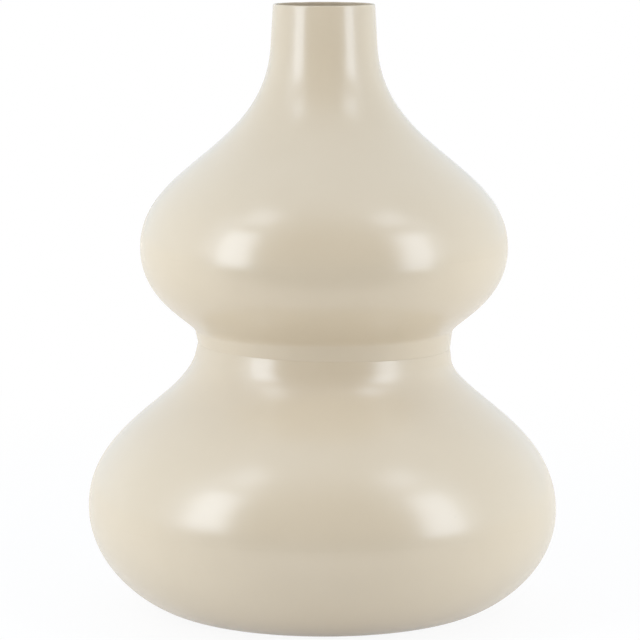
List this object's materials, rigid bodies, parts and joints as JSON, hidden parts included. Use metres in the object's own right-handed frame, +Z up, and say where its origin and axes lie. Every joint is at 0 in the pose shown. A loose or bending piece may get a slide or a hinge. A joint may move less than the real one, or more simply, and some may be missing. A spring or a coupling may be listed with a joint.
{
  "type": "metal vase",
  "caption": "Double-gourd metal vase with a narrow neck, a waist collar and a cream satin lacquer, made of nested spun shells on a felt base; holds stems or stands as an ornament.",
  "frame": {"origin": "centre of the felt's underside, on the vase's axis", "axes": "+Z up along the vase's axis, towards its mouth; X and Y are alike"},
  "size_m": [0.2404, 0.2404, 0.31],
  "materials": {
    "lacquered_metal": "cream satin-gloss lacquer on spun sheet steel",
    "felt": "dense dark felt",
    "solder": "dull grey soft solder"
  },
  "bodies": {
    "root": {"neck_shell": "lacquered_metal", "upper_bowl": "lacquered_metal", "lower_shoulder": "lacquered_metal", "lower_bowl": "lacquered_metal", "base_felt": "felt", "upper_seam_solder": "solder", "waist_solder": "solder", "lower_seam_solder": "solder"}
  },
  "joints": []
}
